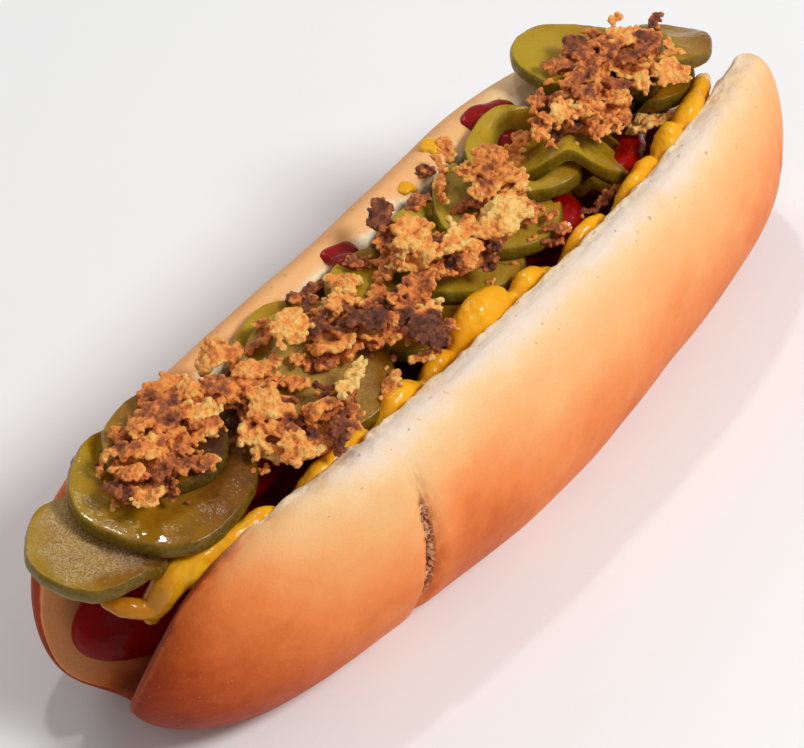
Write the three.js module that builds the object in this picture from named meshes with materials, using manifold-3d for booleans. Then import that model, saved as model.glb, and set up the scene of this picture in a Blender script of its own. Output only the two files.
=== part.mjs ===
// A dressed hot dog: a split soft roll that holds a sausage, mustard, ketchup, pickle slices and
// five clumps of fried onion flakes. Millimetres, +Z up. X runs along the roll, with its open near
// end at -X and its right wall at -Y. The origin is under the middle of the roll, on the surface
// that the roll rests on.
import * as THREE from 'three';
import { ParametricGeometry } from 'three/addons/geometries/ParametricGeometry.js';
import { mergeVertices } from 'three/addons/utils/BufferGeometryUtils.js';
import Module from 'manifold-3d';

const wasm = await Module();
wasm.setup();

const GAP = 0.35; // clear space between neighbouring pieces
const DEGREE = Math.PI / 180;

// The roll is one thick sheet bent into a U: a mid line with crust outside it and crumb inside it.
const ROLL = {
  length: 182,
  lobe: 6.4, // how far the two walls stand out past the cleft at each end
  halfWidth: 19.6,
  centreZ: 29.3,
  depth: 25, // mid line at the bottom, below centreZ
  riseRight: 29.4,
  riseLeft: 26.6,
  lipAngle: 121 * DEGREE,
  crust: 12,
  crustLeft: 11,
  crumb: 5.5,
  flatUnder: 0.3, // share of the thickness that the bottom gives up where it is pressed flat
  taper: 0.5,
  taperNearLeft: 0.27, // the left wall gapes at the near end
  taperFarRight: 0.7, // the right wall turns in at the far end
  nearShift: 3, // the near cleft lies this much to the left
  nearReach: 1.3, // extra length of the right wall at the near end
  nearThin: 0.9, // share of the left wall's crumb that is gone at the near end
  farTrim: 2, // how much the far end falls short of the near one
};
// The pinch in the right wall: place along X, the angles up the wall between which it runs.
const CREASE = {
  x: -41,
  from: 50 * DEGREE,
  to: 104 * DEGREE,
  edge: 5 * DEGREE,
  width: 1.9,
  depth: 2.4,
};
// Where the crust swells or falls in: place along X, angle up the wall (+ right, - left), reach.
const SWELLS = [
  { x: -74, width: 20, angle: 42 * DEGREE, spread: 32 * DEGREE, by: 1.7 },
  { x: 72, width: 14, angle: 85 * DEGREE, spread: 40 * DEGREE, by: 1.6 },
  { x: -6, width: 31, angle: 62 * DEGREE, spread: 38 * DEGREE, by: 3.2 },
  { x: 37, width: 18, angle: -110 * DEGREE, spread: 45 * DEGREE, by: 2.2 },
  { x: -28, width: 30, angle: -105 * DEGREE, spread: 45 * DEGREE, by: -1.3 },
];

const SAUSAGE = { length: 165, radius: 11.4, x: -5.5, z: 21.7, nearShift: 9, nearDroop: 4 };

// Rows along a sauce line: x, y, z and radius.
const MUSTARD_RISE = 1.5; // height of the mustard line as a share of its width
const MUSTARD = [
  [-84, -4.0, 29, 1.6],
  [-83, -4.4, 32, 2.2],
  [-81, -5.2, 35.2, 2.6],
  [-78, -6.0, 36.8, 2.4],
  [-74, -8.0, 37.6, 2.3],
  [-62, -11.0, 39.2, 2.2],
  [-50, -12.4, 40, 2.2],
  [-38, -12.8, 40.4, 2.1],
  [-26, -12.6, 40.8, 2.4],
  [-15, -12.4, 40.4, 2.4],
  [-6, -11.8, 40.6, 3.9],
  [3, -12.8, 40.4, 2.3],
  [14, -13.0, 40.6, 2.5],
  [26, -13.0, 40.6, 1.7],
  [38, -12.8, 41, 1.8],
  [48, -11.8, 41.4, 2.7],
  [57, -10.4, 41.4, 2.4],
  [65, -7.8, 40.8, 2.0],
  [72, -4.8, 39.2, 1.6],
];
const KETCHUP = [
  [-82, 6, 35.6, 3.0],
  [-72, 8, 35.4, 2.8],
  [-52, -1, 34.8, 2.8],
  [-32, 7, 35.4, 2.8],
  [-12, 7, 35.4, 2.8],
  [5, -7.4, 36, 3.2],
  [16, -1, 34.8, 2.8],
  [27, -6, 36, 3.2],
  [34, 4, 35.2, 3.0],
  [43, -5.6, 36.4, 3.4],
  [56, 0, 34.8, 2.8],
  [69, 0, 34.6, 2.6],
];
// Where ketchup has run up the left wall: its foot, its head and its radius.
const KETCHUP_RISES = [
  { foot: [-74.5, 8, 36], head: [-74.5, 15.4, 44], radius: 3.3 },
  { foot: [-29.4, 7.6, 36], head: [-29.4, 14.6, 43.4], radius: 3.1 },
  { foot: [-11, 7, 36], head: [-11, 14.2, 43.4], radius: 3.3 },
  { foot: [34.2, 6, 35.4], head: [34.2, 14.2, 40.6], radius: 3.2 },
];

// Pickle slices, the ones on top first: centre, radius, slopes along X and Y, then how oval the
// slice is, the heading of its long axis, and how steeply it falls on both sides of that heading.
const SLICE = { thickness: 3.3, wobble: 0.035 };
const SLICES = [
  { at: [-64.4, 8.0, 47.0], radius: 10.4, slope: [0.02, 0.06] },
  { at: [-68.2, 4.8, 44.4], radius: 15.4, slope: [0.02, 0.12], oval: 0.06 },
  { at: [-84.4, 5.6, 41.8], radius: 11.7, slope: [-0.1, -0.02] },
  { at: [-34.6, 0.4, 43.0], radius: 13.0, slope: [0.03, 0.2] },
  { at: [-31.5, 6.2, 41.2], radius: 12.0, slope: [0, 0.22] },
  { at: [52.4, 13.0, 47.6], radius: 10.0, slope: [-0.1, -0.04] },
  { at: [36.6, 1.5, 45.2], radius: 9.0, slope: [-0.22, -0.18], oval: -0.24, heading: 40, fold: 0.85 },
  { at: [31.0, 6.6, 42.8], radius: 10.6, slope: [0, 0.18] },
  { at: [17.4, 2.6, 42.2], radius: 11.6, slope: [0, 0.16] },
  { at: [5.6, 2.4, 41.4], radius: 12.2, slope: [0.02, 0.16] },
  { at: [-10.5, 2.2, 40.8], radius: 12.2, slope: [0, 0.2] },
  { at: [40.2, -1.6, 43.2], radius: 7.0, slope: [0.1, 0.05] },
  { at: [29.6, 5.0, 39.0], radius: 8.2, slope: [-0.05, 0.1] },
  { at: [56.5, 9.4, 45.0], radius: 11.0, slope: [-0.11, -0.09] },
  { at: [66.4, 1.8, 46.2], radius: 9.4, slope: [-0.27, -0.22] },
  { at: [54.5, 8.5, 41.4], radius: 8.6, slope: [0, 0] },
  { at: [62.8, 4.2, 42.4], radius: 10.4, slope: [-0.04, 0.1] },
];

// Onion clumps: the ridge that each one follows (x, y, z), its half width and its count of flakes.
const FLAKE = {
  length: 6.8,
  width: 4.2,
  thickness: 1.4,
  curl: 0.07,
  ragged: 0.45, // how far a corner may stray, as a share of the side
  lean: 1.2, // range of the tilt, in radians
  spread: 1.1, // how far out from the ridge flakes lie, as a share of the clump's half width
};
const RIDGE_RISE = 0.36; // height of a clump's core as a share of its width
const CLUMPS = [
  {
    ridge: [
      [-75.5, 2.6, 46.4],
      [-71.1, 7.2, 48.4],
      [-63.6, 8.2, 49.5],
      [-55.6, 7.4, 49.6],
    ],
    halfWidth: 4.6,
    flakes: 13,
  },
  {
    ridge: [
      [-46.4, 8, 49],
      [-49, 0.6, 47.8],
      [-52.2, -5, 46],
      [-46.5, -9.4, 45.4],
      [-38, -8.4, 46.4],
    ],
    halfWidth: 4.4,
    flakes: 14,
  },
  {
    ridge: [
      [-32.8, 6.4, 49],
      [-25.4, 3, 48.6],
      [-21.6, -3, 47.6],
      [-16, -5, 47],
      [-18.4, -10.4, 45.6],
    ],
    halfWidth: 4.4,
    flakes: 14,
  },
  {
    ridge: [
      [-4.4, 11.6, 47.8],
      [-4, 3, 47],
      [0, -3, 46.4],
      [10.2, -2.6, 46.8],
      [17, 0, 48],
      [20, 9, 48],
    ],
    halfWidth: 4.2,
    flakes: 15,
  },
  {
    ridge: [
      [36, 5.6, 48.6],
      [44, -3, 48],
      [46.4, 5, 49.4],
      [52, 7, 50.4],
      [58.8, 5, 50.4],
      [58.4, -3.0, 48.4],
    ],
    halfWidth: 4.4,
    flakes: 17,
  },
];

const COLOURS = {
  roll: 0xd9935b,
  sausage: 0x7c1413,
  mustard: 0xe3a30f,
  ketchup: 0xa30f0a,
  pickle: 0x6f6f1a,
  onions: 0xc98445,
};

// Sign-keeping power, for rounded squares.
const bend = (value, power) => Math.sign(value) * Math.abs(value) ** power;
const GOLDEN_SHARE = (Math.sqrt(5) - 1) / 2;
const bell = (value, width) => Math.exp(-((value / width) ** 2));

// A seeded draw from 0 to 1, so that every run scatters the flakes alike.
function seededDraw(seed) {
  let state = seed;
  return () => {
    state = (state * 1664525 + 1013904223) % 4294967296;
    return state / 4294967296;
  };
}

// Turns a closed three.js surface into a solid with its faces pointing out.
function solidFrom(surface) {
  surface.deleteAttribute('normal');
  surface.deleteAttribute('uv');
  const merged = mergeVertices(surface, 1e-3);
  const points = merged.getAttribute('position').array;
  const corner = (index) => new THREE.Vector3().fromArray(points, 3 * index);
  const faces = [];
  let volume = 0;
  for (let k = 0; k < merged.index.count; k += 3) {
    const [a, b, c] = [0, 1, 2].map((step) => merged.index.getX(k + step));
    if (a === b || b === c || c === a) continue;
    faces.push([a, b, c]);
    volume += corner(a).dot(corner(b).cross(corner(c)));
  }
  const outward = volume > 0 ? faces : faces.map(([a, b, c]) => [a, c, b]);
  const triVerts = new Uint32Array(outward.flat());
  const vertProperties = new Float32Array(points);
  return new wasm.Manifold(new wasm.Mesh({ numProp: 3, vertProperties, triVerts }));
}

// A closed surface from a function of two parameters: around runs round the section, and along goes
// from one pole to the other.
function closedSurface(pointAt, aroundCount, alongCount) {
  return solidFrom(new ParametricGeometry(pointAt, aroundCount, alongCount));
}

// Stations along the roll, closer together at the crease.
function rollStations(count) {
  const half = ROLL.length / 2 - ROLL.lobe;
  const even = Array.from({ length: count + 1 }, (_, k) => k / count);
  const crease = [-1.6, -0.8, 0, 0.8, 1.6].map(
    (step) => Math.acos(-(CREASE.x + step * CREASE.width) / half) / Math.PI,
  );
  const clear = even.filter((t) => crease.every((c) => Math.abs(t - c) > 0.3 / count));
  return [...clear, ...crease].sort((p, q) => p - q);
}

// The roll's mid line at a section is an ellipse from lip to lip; crust lies outside it and crumb
// inside it, and both run out at the lips and at the two ends.
function roll(grow = 0, aroundCount = 32, alongCount = 24) {
  const stations = rollStations(alongCount);
  const half = ROLL.length / 2 - ROLL.lobe;
  return closedSurface((u, v, point) => {
    const t = stations[Math.round(v * (stations.length - 1))];
    const s = -Math.cos(Math.PI * t); // -1 at the near tip, +1 at the far tip
    const end = Math.abs(s);
    const across = bend(Math.cos(2 * Math.PI * u), 0.85); // +1 at the right lip, -1 at the left
    const side = bend(Math.sin(2 * Math.PI * u), 0.62); // +1 on the crust, -1 on the crumb
    const fullness = across > 0 && s > 0 ? 24 : 10;
    const angle = ROLL.lipAngle * Math.cbrt(1 - end ** fullness) * across;
    const right = 0.5 + 0.5 * Math.tanh(angle / 0.35);
    const nearLeft = s < 0 ? 1 - right : 0;
    const farRight = s > 0 ? right : 0;
    const taper =
      ROLL.taper +
      (ROLL.taperNearLeft - ROLL.taper) * nearLeft +
      (ROLL.taperFarRight - ROLL.taper) * farRight;
    const width = ROLL.halfWidth * (1 - taper * end ** 3.2);
    const rise = (ROLL.riseLeft + (ROLL.riseRight - ROLL.riseLeft) * right) * (1 - 0.12 * end ** 3);
    const height = Math.cos(angle) > 0 ? ROLL.depth * (1 - 0.1 * end ** 3) : rise;
    const crust = ROLL.crustLeft + (ROLL.crust - ROLL.crustLeft) * right;
    const x = half * s - (s > 0 ? ROLL.farTrim * s ** 3 : 0);
    const fade = Math.sqrt(1 - end ** 9) * (1 - ROLL.flatUnder * bell(angle, 0.55));
    const crumb = ROLL.crumb * (1 - ROLL.nearThin * nearLeft * end ** 3);
    const thickness = (side > 0 ? crust + crustChange(x, angle) : crumb) * fade + grow;
    const normal = new THREE.Vector2(-Math.sin(angle) * height, -Math.cos(angle) * width).normalize();
    const shift = s < 0 ? ROLL.nearShift * end ** 5 : 0;
    const reach = ROLL.lobe + (s < 0 ? ROLL.nearReach * right : 0);
    const lobe = Math.sign(s) * reach * end ** 6 * (1 - bell(angle, 0.5 + 0.12 * right));
    const z = ROLL.centreZ - height * Math.cos(angle) + thickness * side * normal.y;
    point.set(
      x + lobe + Math.sign(s) * grow * end ** 12,
      shift - width * Math.sin(angle) + thickness * side * normal.x,
      Math.max(z, 0),
    );
  }, aroundCount, stations.length - 1);
}

// How far the crust stands out or in: the swells, and the crease that pinches the right wall.
function crustChange(x, angle) {
  const swell = SWELLS.reduce(
    (sum, row) => sum + row.by * bell(x - row.x, row.width) * bell(angle - row.angle, row.spread),
    0,
  );
  const past = (from) => 1 / (1 + Math.exp((from - angle) / CREASE.edge));
  const share = past(CREASE.from) * (1 - past(CREASE.to));
  return swell - CREASE.depth * bell(x - CREASE.x, CREASE.width) * share;
}

// The sausage: a round bar with blunt rounded ends, its near end a little to the left.
function sausage(grow = 0) {
  return closedSurface((u, v, point) => {
    const s = -Math.cos(Math.PI * v);
    const end = Math.abs(s);
    const radius = SAUSAGE.radius * Math.sqrt(1 - end ** 6) + (end < 1 ? grow : 0);
    const near = s < 0 ? end ** 3 : 0;
    point.set(
      SAUSAGE.x + (SAUSAGE.length / 2 + grow) * s,
      SAUSAGE.nearShift * near + radius * Math.cos(2 * Math.PI * u),
      SAUSAGE.z - SAUSAGE.nearDroop * near + radius * Math.sin(2 * Math.PI * u),
    );
  }, 16, 16);
}

// A bead along a curve through its rows (x, y, z and radius), its height the given share of its width.
function bead(rows, height, grow, alongCount, aroundCount = 6) {
  const path = new THREE.CatmullRomCurve3(rows.map(([x, y, z]) => new THREE.Vector3(x, y, z)));
  const frames = path.computeFrenetFrames(alongCount, false);
  const offset = new THREE.Vector3();
  return closedSurface((u, v, point) => {
    const station = Math.round(v * alongCount);
    const place = Math.min(path.getUtoTmapping(v) * (rows.length - 1), rows.length - 1.001);
    const row = Math.floor(place);
    const radius = rows[row][3] + (rows[row + 1][3] - rows[row][3]) * (place - row);
    const full = radius * Math.sqrt(1 - Math.abs(2 * v - 1) ** 14) + (v > 0 && v < 1 ? grow : 0);
    offset.set(0, 0, 0);
    offset.addScaledVector(frames.normals[station], full * Math.cos(2 * Math.PI * u));
    offset.addScaledVector(frames.binormals[station], full * Math.sin(2 * Math.PI * u));
    offset.z *= height;
    path.getPointAt(v, point);
    point.add(offset);
  }, aroundCount, alongCount);
}

// The ketchup: a winding bead over the sausage with the places where it has run up the left wall.
function ketchup(grow = 0) {
  return KETCHUP_RISES.reduce((whole, { foot, head, radius }) => {
    const [low, high] = [new THREE.Vector3(...foot), new THREE.Vector3(...head)];
    const rise = new THREE.CapsuleGeometry(radius + grow, low.distanceTo(high), 2, 7);
    const upright = high.clone().sub(low).normalize();
    rise.applyQuaternion(new THREE.Quaternion().setFromUnitVectors(new THREE.Vector3(0, 1, 0), upright));
    rise.translate(...low.add(high).multiplyScalar(0.5).toArray());
    return whole.add(solidFrom(rise));
  }, bead(KETCHUP, 1, grow, 32));
}

// A pickle slice: a flat oval disc with a rounded rim, tilted by its slopes and folded if asked.
function slice({ at, radius, slope, oval = 0, heading = 0, fold = 0 }, grow = 0, aroundCount = 14) {
  const alongX = new THREE.Vector3(1, 0, slope[0]).normalize();
  const alongY = new THREE.Vector3(0, 1, slope[1]).normalize();
  const normal = alongX.clone().cross(alongY).normalize();
  return closedSurface((u, v, point) => {
    const turn = 2 * Math.PI * u;
    const lean = Math.PI * (v - 0.5);
    const lumpy = Math.sin(3 * turn + at[0]) + 0.5 * Math.cos(5 * turn + at[1]);
    const ovalShare = 1 + oval * Math.cos(2 * (turn - heading * DEGREE));
    const edge = radius * (1 + SLICE.wobble * lumpy) * ovalShare + grow;
    const reach = edge * Math.abs(Math.cos(lean)) ** 0.35;
    const rise = (SLICE.thickness / 2 + grow) * bend(Math.sin(lean), 0.45);
    const poleReach = v === 0 || v === 1 ? 0 : reach;
    const aside = poleReach * Math.sin(turn - heading * DEGREE);
    point.fromArray(at);
    point.addScaledVector(alongX, poleReach * Math.cos(turn));
    point.addScaledVector(alongY, poleReach * Math.sin(turn));
    point.addScaledVector(normal, rise);
    point.z -= fold * (Math.sqrt(aside * aside + 1) - 1);
  }, aroundCount, 4);
}

// One fried flake: a small bent strip with ragged corners.
function flake(centre, size, turn, grow, draw) {
  const strip = new THREE.BoxGeometry(1, 1, 1, 1, 1, 1);
  strip.deleteAttribute('normal');
  strip.deleteAttribute('uv');
  const shape = mergeVertices(strip, 1e-3);
  const corners = shape.getAttribute('position');
  const curl = FLAKE.curl * (0.4 + draw());
  for (let k = 0; k < corners.count; k += 1) {
    const [x, y, z] = size.map((side, axis) => {
      const ragged = side * (1 + FLAKE.ragged * (draw() - 0.5)) + 2 * grow;
      return ragged * corners.getComponent(k, axis);
    });
    corners.setXYZ(k, x, y, z - curl * x * x);
  }
  shape.applyMatrix4(new THREE.Matrix4().makeRotationFromEuler(new THREE.Euler(...turn)));
  shape.translate(...centre);
  return solidFrom(shape);
}

// A clump of onions: a broad low ridge with flakes fused on all over it.
function onions({ ridge, halfWidth, flakes }, seed, grow = 0) {
  const draw = seededDraw(seed);
  const core = bead(ridge.map((row) => [...row, halfWidth]), RIDGE_RISE, grow, 2 * ridge.length + 2);
  const path = new THREE.CatmullRomCurve3(ridge.map((row) => new THREE.Vector3(...row)));
  let clump = core;
  for (let k = 0; k < flakes; k += 1) {
    const along = 0.03 + (0.94 * (k + 0.5)) / flakes;
    const away = 2 * ((k * GOLDEN_SHARE) % 1) - 1;
    const centre = path.getPoint(along);
    const tangent = path.getTangent(along);
    const sideways = new THREE.Vector3(-tangent.y, tangent.x, 0).normalize();
    centre.addScaledVector(sideways, FLAKE.spread * halfWidth * away);
    centre.z += RIDGE_RISE * halfWidth * Math.sqrt(1 - 0.8 * away * away);
    const scale = 0.65 + 0.7 * draw();
    const size = [FLAKE.length * scale, FLAKE.width * (0.7 + 0.6 * draw()), FLAKE.thickness];
    const turn = [FLAKE.lean * (draw() - 0.5), FLAKE.lean * (draw() - 0.5), Math.PI * draw()];
    clump = clump.add(flake(centre.toArray(), size, turn, grow, draw));
  }
  return clump;
}

// The largest body of a solid that cutting has left in pieces.
function largestBody(solid) {
  return solid.decompose().reduce((best, body) => (body.volume() > best.volume() ? body : best));
}

// Every piece in the order in which it keeps its form: a later one is cut clear of the earlier ones.
const placed = [];
const hotDog = new THREE.Group();

function place(name, whole, grown, colour, roughness) {
  const box = whole.boundingBox();
  let solid = whole;
  for (const other of placed) {
    const apart = [0, 1, 2].some((k) => other.box.min[k] > box.max[k] || other.box.max[k] < box.min[k]);
    if (!apart) solid = solid.subtract(other.solid);
  }
  // Stored points are rounded, which can part two bodies that met at a hair's width.
  solid = largestBody(new wasm.Manifold(largestBody(solid).getMesh()));
  const keepClear = grown.add(whole);
  placed.push({ solid: keepClear, box: keepClear.boundingBox() });
  const mesh = solid.getMesh();
  const geometry = new THREE.BufferGeometry();
  geometry.setAttribute('position', new THREE.BufferAttribute(mesh.vertProperties, 3));
  geometry.setIndex(new THREE.BufferAttribute(mesh.triVerts, 1));
  geometry.computeVertexNormals();
  const material = new THREE.MeshStandardMaterial({ color: colour, roughness, metalness: 0 });
  const piece = new THREE.Mesh(geometry, material);
  piece.name = name;
  hotDog.add(piece);
}

place('roll', roll(), roll(GAP), COLOURS.roll, 0.6);
place('sausage', sausage(), sausage(GAP), COLOURS.sausage, 0.25);
place('ketchup', ketchup(), ketchup(GAP), COLOURS.ketchup, 0.2);
SLICES.forEach((row, k) => {
  place(`pickle_${String(k + 1).padStart(2, '0')}`, slice(row), slice(row, GAP), COLOURS.pickle, 0.2);
});
const mustard = (grow = 0) => bead(MUSTARD, MUSTARD_RISE, grow, 24);
place('mustard', mustard(), mustard(GAP), COLOURS.mustard, 0.25);
CLUMPS.forEach((row, k) => {
  place(`onions_${k + 1}`, onions(row, 11 + k), onions(row, 11 + k, GAP), COLOURS.onions, 0.75);
});

export default hotDog;
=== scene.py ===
import math

import bpy
import numpy as np
from mathutils import Matrix, Vector


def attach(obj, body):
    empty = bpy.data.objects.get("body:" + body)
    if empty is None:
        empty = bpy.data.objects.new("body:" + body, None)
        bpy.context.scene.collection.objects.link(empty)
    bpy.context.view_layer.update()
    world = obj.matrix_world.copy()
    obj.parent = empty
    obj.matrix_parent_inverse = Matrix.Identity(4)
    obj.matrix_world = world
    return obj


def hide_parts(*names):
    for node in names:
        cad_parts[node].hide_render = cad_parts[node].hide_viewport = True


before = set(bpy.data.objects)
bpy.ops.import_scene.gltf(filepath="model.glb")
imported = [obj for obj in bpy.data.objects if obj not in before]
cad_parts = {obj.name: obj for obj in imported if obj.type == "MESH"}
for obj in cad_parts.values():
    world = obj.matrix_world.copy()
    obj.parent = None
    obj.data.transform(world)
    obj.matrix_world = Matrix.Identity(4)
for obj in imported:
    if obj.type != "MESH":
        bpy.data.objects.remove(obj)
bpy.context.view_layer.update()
print("frame loaded:", len(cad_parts), "nodes")

mm = 0.001  # one millimetre in metres
radians = math.pi / 180


# Numbers that vary smoothly in space

# Gradient noise, about -1 to 1: every corner of a cubic lattice has a direction hashed from its
# place, and the products of direction and distance are faded between the eight corners of a cell.
def noiseAt(points, size, seed=0):
    spot = points / size + 19.7 * seed
    cell = np.floor(spot).astype(np.int64)
    part = spot - cell
    fade = part ** 3 * (part * (6 * part - 15) + 10)
    total = np.zeros(points.shape[:-1])
    for corner in np.ndindex(2, 2, 2):
        i, j, k = np.moveaxis(cell + corner, -1, 0)
        mixed = (i * 374761393 + j * 668265263 + k * 1442695041) & 0xFFFFFFFF
        mixed = ((mixed ^ (mixed >> 13)) * 1274126177) & 0xFFFFFFFF
        mixed = mixed ^ (mixed >> 16)
        slope = np.stack([(mixed >> shift & 1023) / 511.5 - 1 for shift in (0, 10, 20)], -1)
        weight = np.prod(np.where(np.array(corner) > 0, fade, 1 - fade), axis=-1)
        total += weight * np.sum(slope * (part - corner), axis=-1)
    return 1.5 * total


# Noise in octaves: each one has half the size and a named share of the strength of the one before.
def fractalAt(points, size, octaves, seed=0, gain=0.5):
    return sum(gain ** k * noiseAt(points, size / 2 ** k, seed + k) for k in range(octaves))


def bell(value, width):  # 1 at zero, falling off like a bell
    return np.exp(-(value / width) ** 2)


def bend(value, power):  # a power that keeps the sign
    return np.sign(value) * np.abs(value) ** power


def smoothStep(value, low, high):  # 0 below low, 1 above high, an S between
    share = np.clip((value - low) / (high - low), 0, 1)
    return share * share * (3 - 2 * share)


# The camera, solved from the photograph's outline; its places are in mm

camera = {
    "heading": 50.219,  # degrees from +Y towards +X that the view looks along
    "elevation": 44.943,
    "roll": -2.19,
    "distance": 581.27,
    "target": (-11.035, 1.747, 24.0),
    "focalPixels": 3324.934,
    "width": 804,
    "height": 748,
    "sensor": 36.0,
}


# Right, up and forward of the view: a heading and an elevation, then a turn about the line of sight.
def cameraAxes(look):
    turn, rise, roll = [look[key] * radians for key in ("heading", "elevation", "roll")]
    right = np.array([math.cos(turn), -math.sin(turn), 0])
    up = np.array([math.sin(rise) * math.sin(turn), math.sin(rise) * math.cos(turn), math.cos(rise)])
    forward = np.array([math.cos(rise) * math.sin(turn), math.cos(rise) * math.cos(turn), -math.sin(rise)])
    return (
        math.cos(roll) * right + math.sin(roll) * up,
        math.cos(roll) * up - math.sin(roll) * right,
        forward,
    )


viewRight, viewUp, viewForward = cameraAxes(camera)
viewPoint = np.array(camera["target"]) - camera["distance"] * viewForward


# Where the rays through pixels meet the level plane of a given height.
def seenAt(pixels, height):
    offset = (np.asarray(pixels, float) - (camera["width"] / 2, camera["height"] / 2)) / camera["focalPixels"]
    ray = viewForward + offset[..., :1] * viewRight - offset[..., 1:] * viewUp
    return viewPoint + ray * ((height - viewPoint[2]) / ray[..., 2])[..., None]


def makeCamera(look):
    data = bpy.data.cameras.new("camera")
    data.sensor_width = look["sensor"]
    data.lens = look["focalPixels"] / look["width"] * look["sensor"]
    data.clip_start, data.clip_end = 0.05, 10
    viewer = bpy.data.objects.new("camera", data)
    turned = Matrix((viewRight, viewUp, -viewForward)).transposed().to_4x4()
    viewer.matrix_world = Matrix.Translation(Vector(viewPoint * mm)) @ turned
    bpy.context.scene.collection.objects.link(viewer)
    bpy.context.scene.camera = viewer


makeCamera(camera)
print("camera made")


# Closed forms: a grid of points whose first and last rings are poles

# Vertices, quads and triangles of a grid (rings, around, 3) that closes around and at both poles.
def closedForm(points):
    rings, around = points.shape[:2]
    corners = np.concatenate([points[:1, 0], points[1:-1].reshape(-1, 3), points[-1:, 0]])
    here = 1 + np.arange((rings - 2) * around).reshape(rings - 2, around)
    following = np.roll(here, -1, axis=1)
    quads = np.stack([here[:-1], following[:-1], following[1:], here[1:]], -1).reshape(-1, 4)
    first = np.stack([np.zeros(around, int), following[0], here[0]], -1)
    last = np.stack([np.full(around, len(corners) - 1), here[-1], following[-1]], -1)
    return corners, quads, np.concatenate([first, last])


def poleField(values):  # a grid of values in the order of closedForm's vertices
    return np.concatenate([values[:1, 0], values[1:-1].ravel(), values[-1:, 0]])


# Outward unit normals of such a grid, from the differences along it and around it.
def gridNormals(points):
    aroundStep = np.roll(points, -1, axis=1) - np.roll(points, 1, axis=1)
    alongStep = np.gradient(points, axis=0)
    normals = np.cross(aroundStep, alongStep)
    size = np.linalg.norm(normals, axis=-1, keepdims=True)
    normals = normals / np.maximum(size, 1e-9)
    outward = np.sum(normals * (points - points.mean(axis=1, keepdims=True)))
    return normals if outward > 0 else -normals


# Several forms as one, their corner numbers shifted past each other's.
def joinForms(forms):
    starts = np.cumsum([0] + [len(form[0]) for form in forms[:-1]])
    corners = np.concatenate([form[0] for form in forms])
    quads = np.concatenate([form[1] + start for form, start in zip(forms, starts)])
    triangles = np.concatenate([form[2] + start for form, start in zip(forms, starts)])
    return corners, quads, triangles


# A mesh from a form in mm; faces are turned outwards by the sign of the volume that they enclose.
def makeMesh(name, form, fields=None):
    corners, quads, triangles = form
    a, b, c = [corners[triangles[:, k]] for k in range(3)]
    volume = np.sum(a * np.cross(b, c))
    for second in (1, 2):
        a, b, c = [corners[quads[:, k]] for k in (0, second, second + 1)]
        volume += np.sum(a * np.cross(b, c))
    if volume < 0:
        quads, triangles = quads[:, ::-1], triangles[:, ::-1]
    mesh = bpy.data.meshes.new(name)
    mesh.vertices.add(len(corners))
    mesh.vertices.foreach_set("co", (corners * mm).astype(np.float32).ravel())
    mesh.loops.add(quads.size + triangles.size)
    mesh.polygons.add(len(quads) + len(triangles))
    starts = np.concatenate([4 * np.arange(len(quads)), quads.size + 3 * np.arange(len(triangles))])
    mesh.polygons.foreach_set("loop_start", starts.astype(np.int32))
    mesh.polygons.foreach_set("vertices", np.concatenate([quads.ravel(), triangles.ravel()]).astype(np.int32))
    for key, values in (fields or {}).items():
        setField(mesh, key, values)
    mesh.update(calc_edges=True)
    mesh.validate()
    mesh.shade_smooth()
    return mesh


# A piece of the object: it rides on the one body and stands for the named nodes.
def addPiece(name, mesh, material, nodes):
    piece = bpy.data.objects.new(name, mesh)
    bpy.context.scene.collection.objects.link(piece)
    mesh.materials.append(material)
    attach(piece, "root")
    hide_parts(*nodes)
    return piece


# Overlapping forms melted into one skin: small cubes fill them, and the skin is then smoothed.
def meltedMesh(name, form, voxel, smoothing):
    rough = bpy.data.objects.new(name + "_rough", makeMesh(name + "_rough", form))
    bpy.context.scene.collection.objects.link(rough)
    remesh = rough.modifiers.new("remesh", "REMESH")
    remesh.mode = "VOXEL"
    remesh.voxel_size = voxel * mm
    soften = rough.modifiers.new("soften", "SMOOTH")
    soften.factor = 0.5
    soften.iterations = smoothing
    graph = bpy.context.evaluated_depsgraph_get()
    mesh = bpy.data.meshes.new_from_object(rough.evaluated_get(graph))
    mesh.name = name
    mesh.shade_smooth()
    bpy.data.objects.remove(rough)
    return mesh


def placesOf(mesh):  # the vertices' places in mm
    places = np.empty(3 * len(mesh.vertices), np.float32)
    mesh.vertices.foreach_get("co", places)
    return places.reshape(-1, 3).astype(float) / mm


def setField(mesh, key, values):
    layer = mesh.attributes.new(key, "FLOAT", "POINT")
    layer.data.foreach_set("value", np.asarray(values, np.float32))


# Pushes a mesh's vertices along their normals by noise; size and strength in mm.
def roughen(mesh, size, strength, octaves, seed):
    normals = np.empty(3 * len(mesh.vertices), np.float32)
    mesh.vertex_normals.foreach_get("vector", normals)
    places = placesOf(mesh)
    places += normals.reshape(-1, 3) * strength * fractalAt(places, size, octaves, seed)[:, None]
    mesh.vertices.foreach_set("co", (places * mm).astype(np.float32).ravel())
    mesh.update()


# A smooth curve through rows of numbers, at evenly spaced shares from 0 to 1. Between two rows it is a
# cubic whose slopes are half the step from the row before to the row after.
def curveThrough(rows, shares):
    rows = np.asarray(rows, float)
    padded = np.concatenate([2 * rows[:1] - rows[1:2], rows, 2 * rows[-1:] - rows[-2:-1]])
    spot = np.clip(np.asarray(shares) * (len(rows) - 1), 0, len(rows) - 1 - 1e-9)
    base = spot.astype(int)
    t = (spot - base)[..., None]
    before, start, stop, after = [padded[base + k] for k in range(4)]
    slope, slopeAfter = (stop - before) / 2, (after - start) / 2
    return (
        start * (2 * t ** 3 - 3 * t ** 2 + 1)
        + stop * (3 * t ** 2 - 2 * t ** 3)
        + slope * (t ** 3 - 2 * t ** 2 + t)
        + slopeAfter * (t ** 3 - t ** 2)
    )


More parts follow.
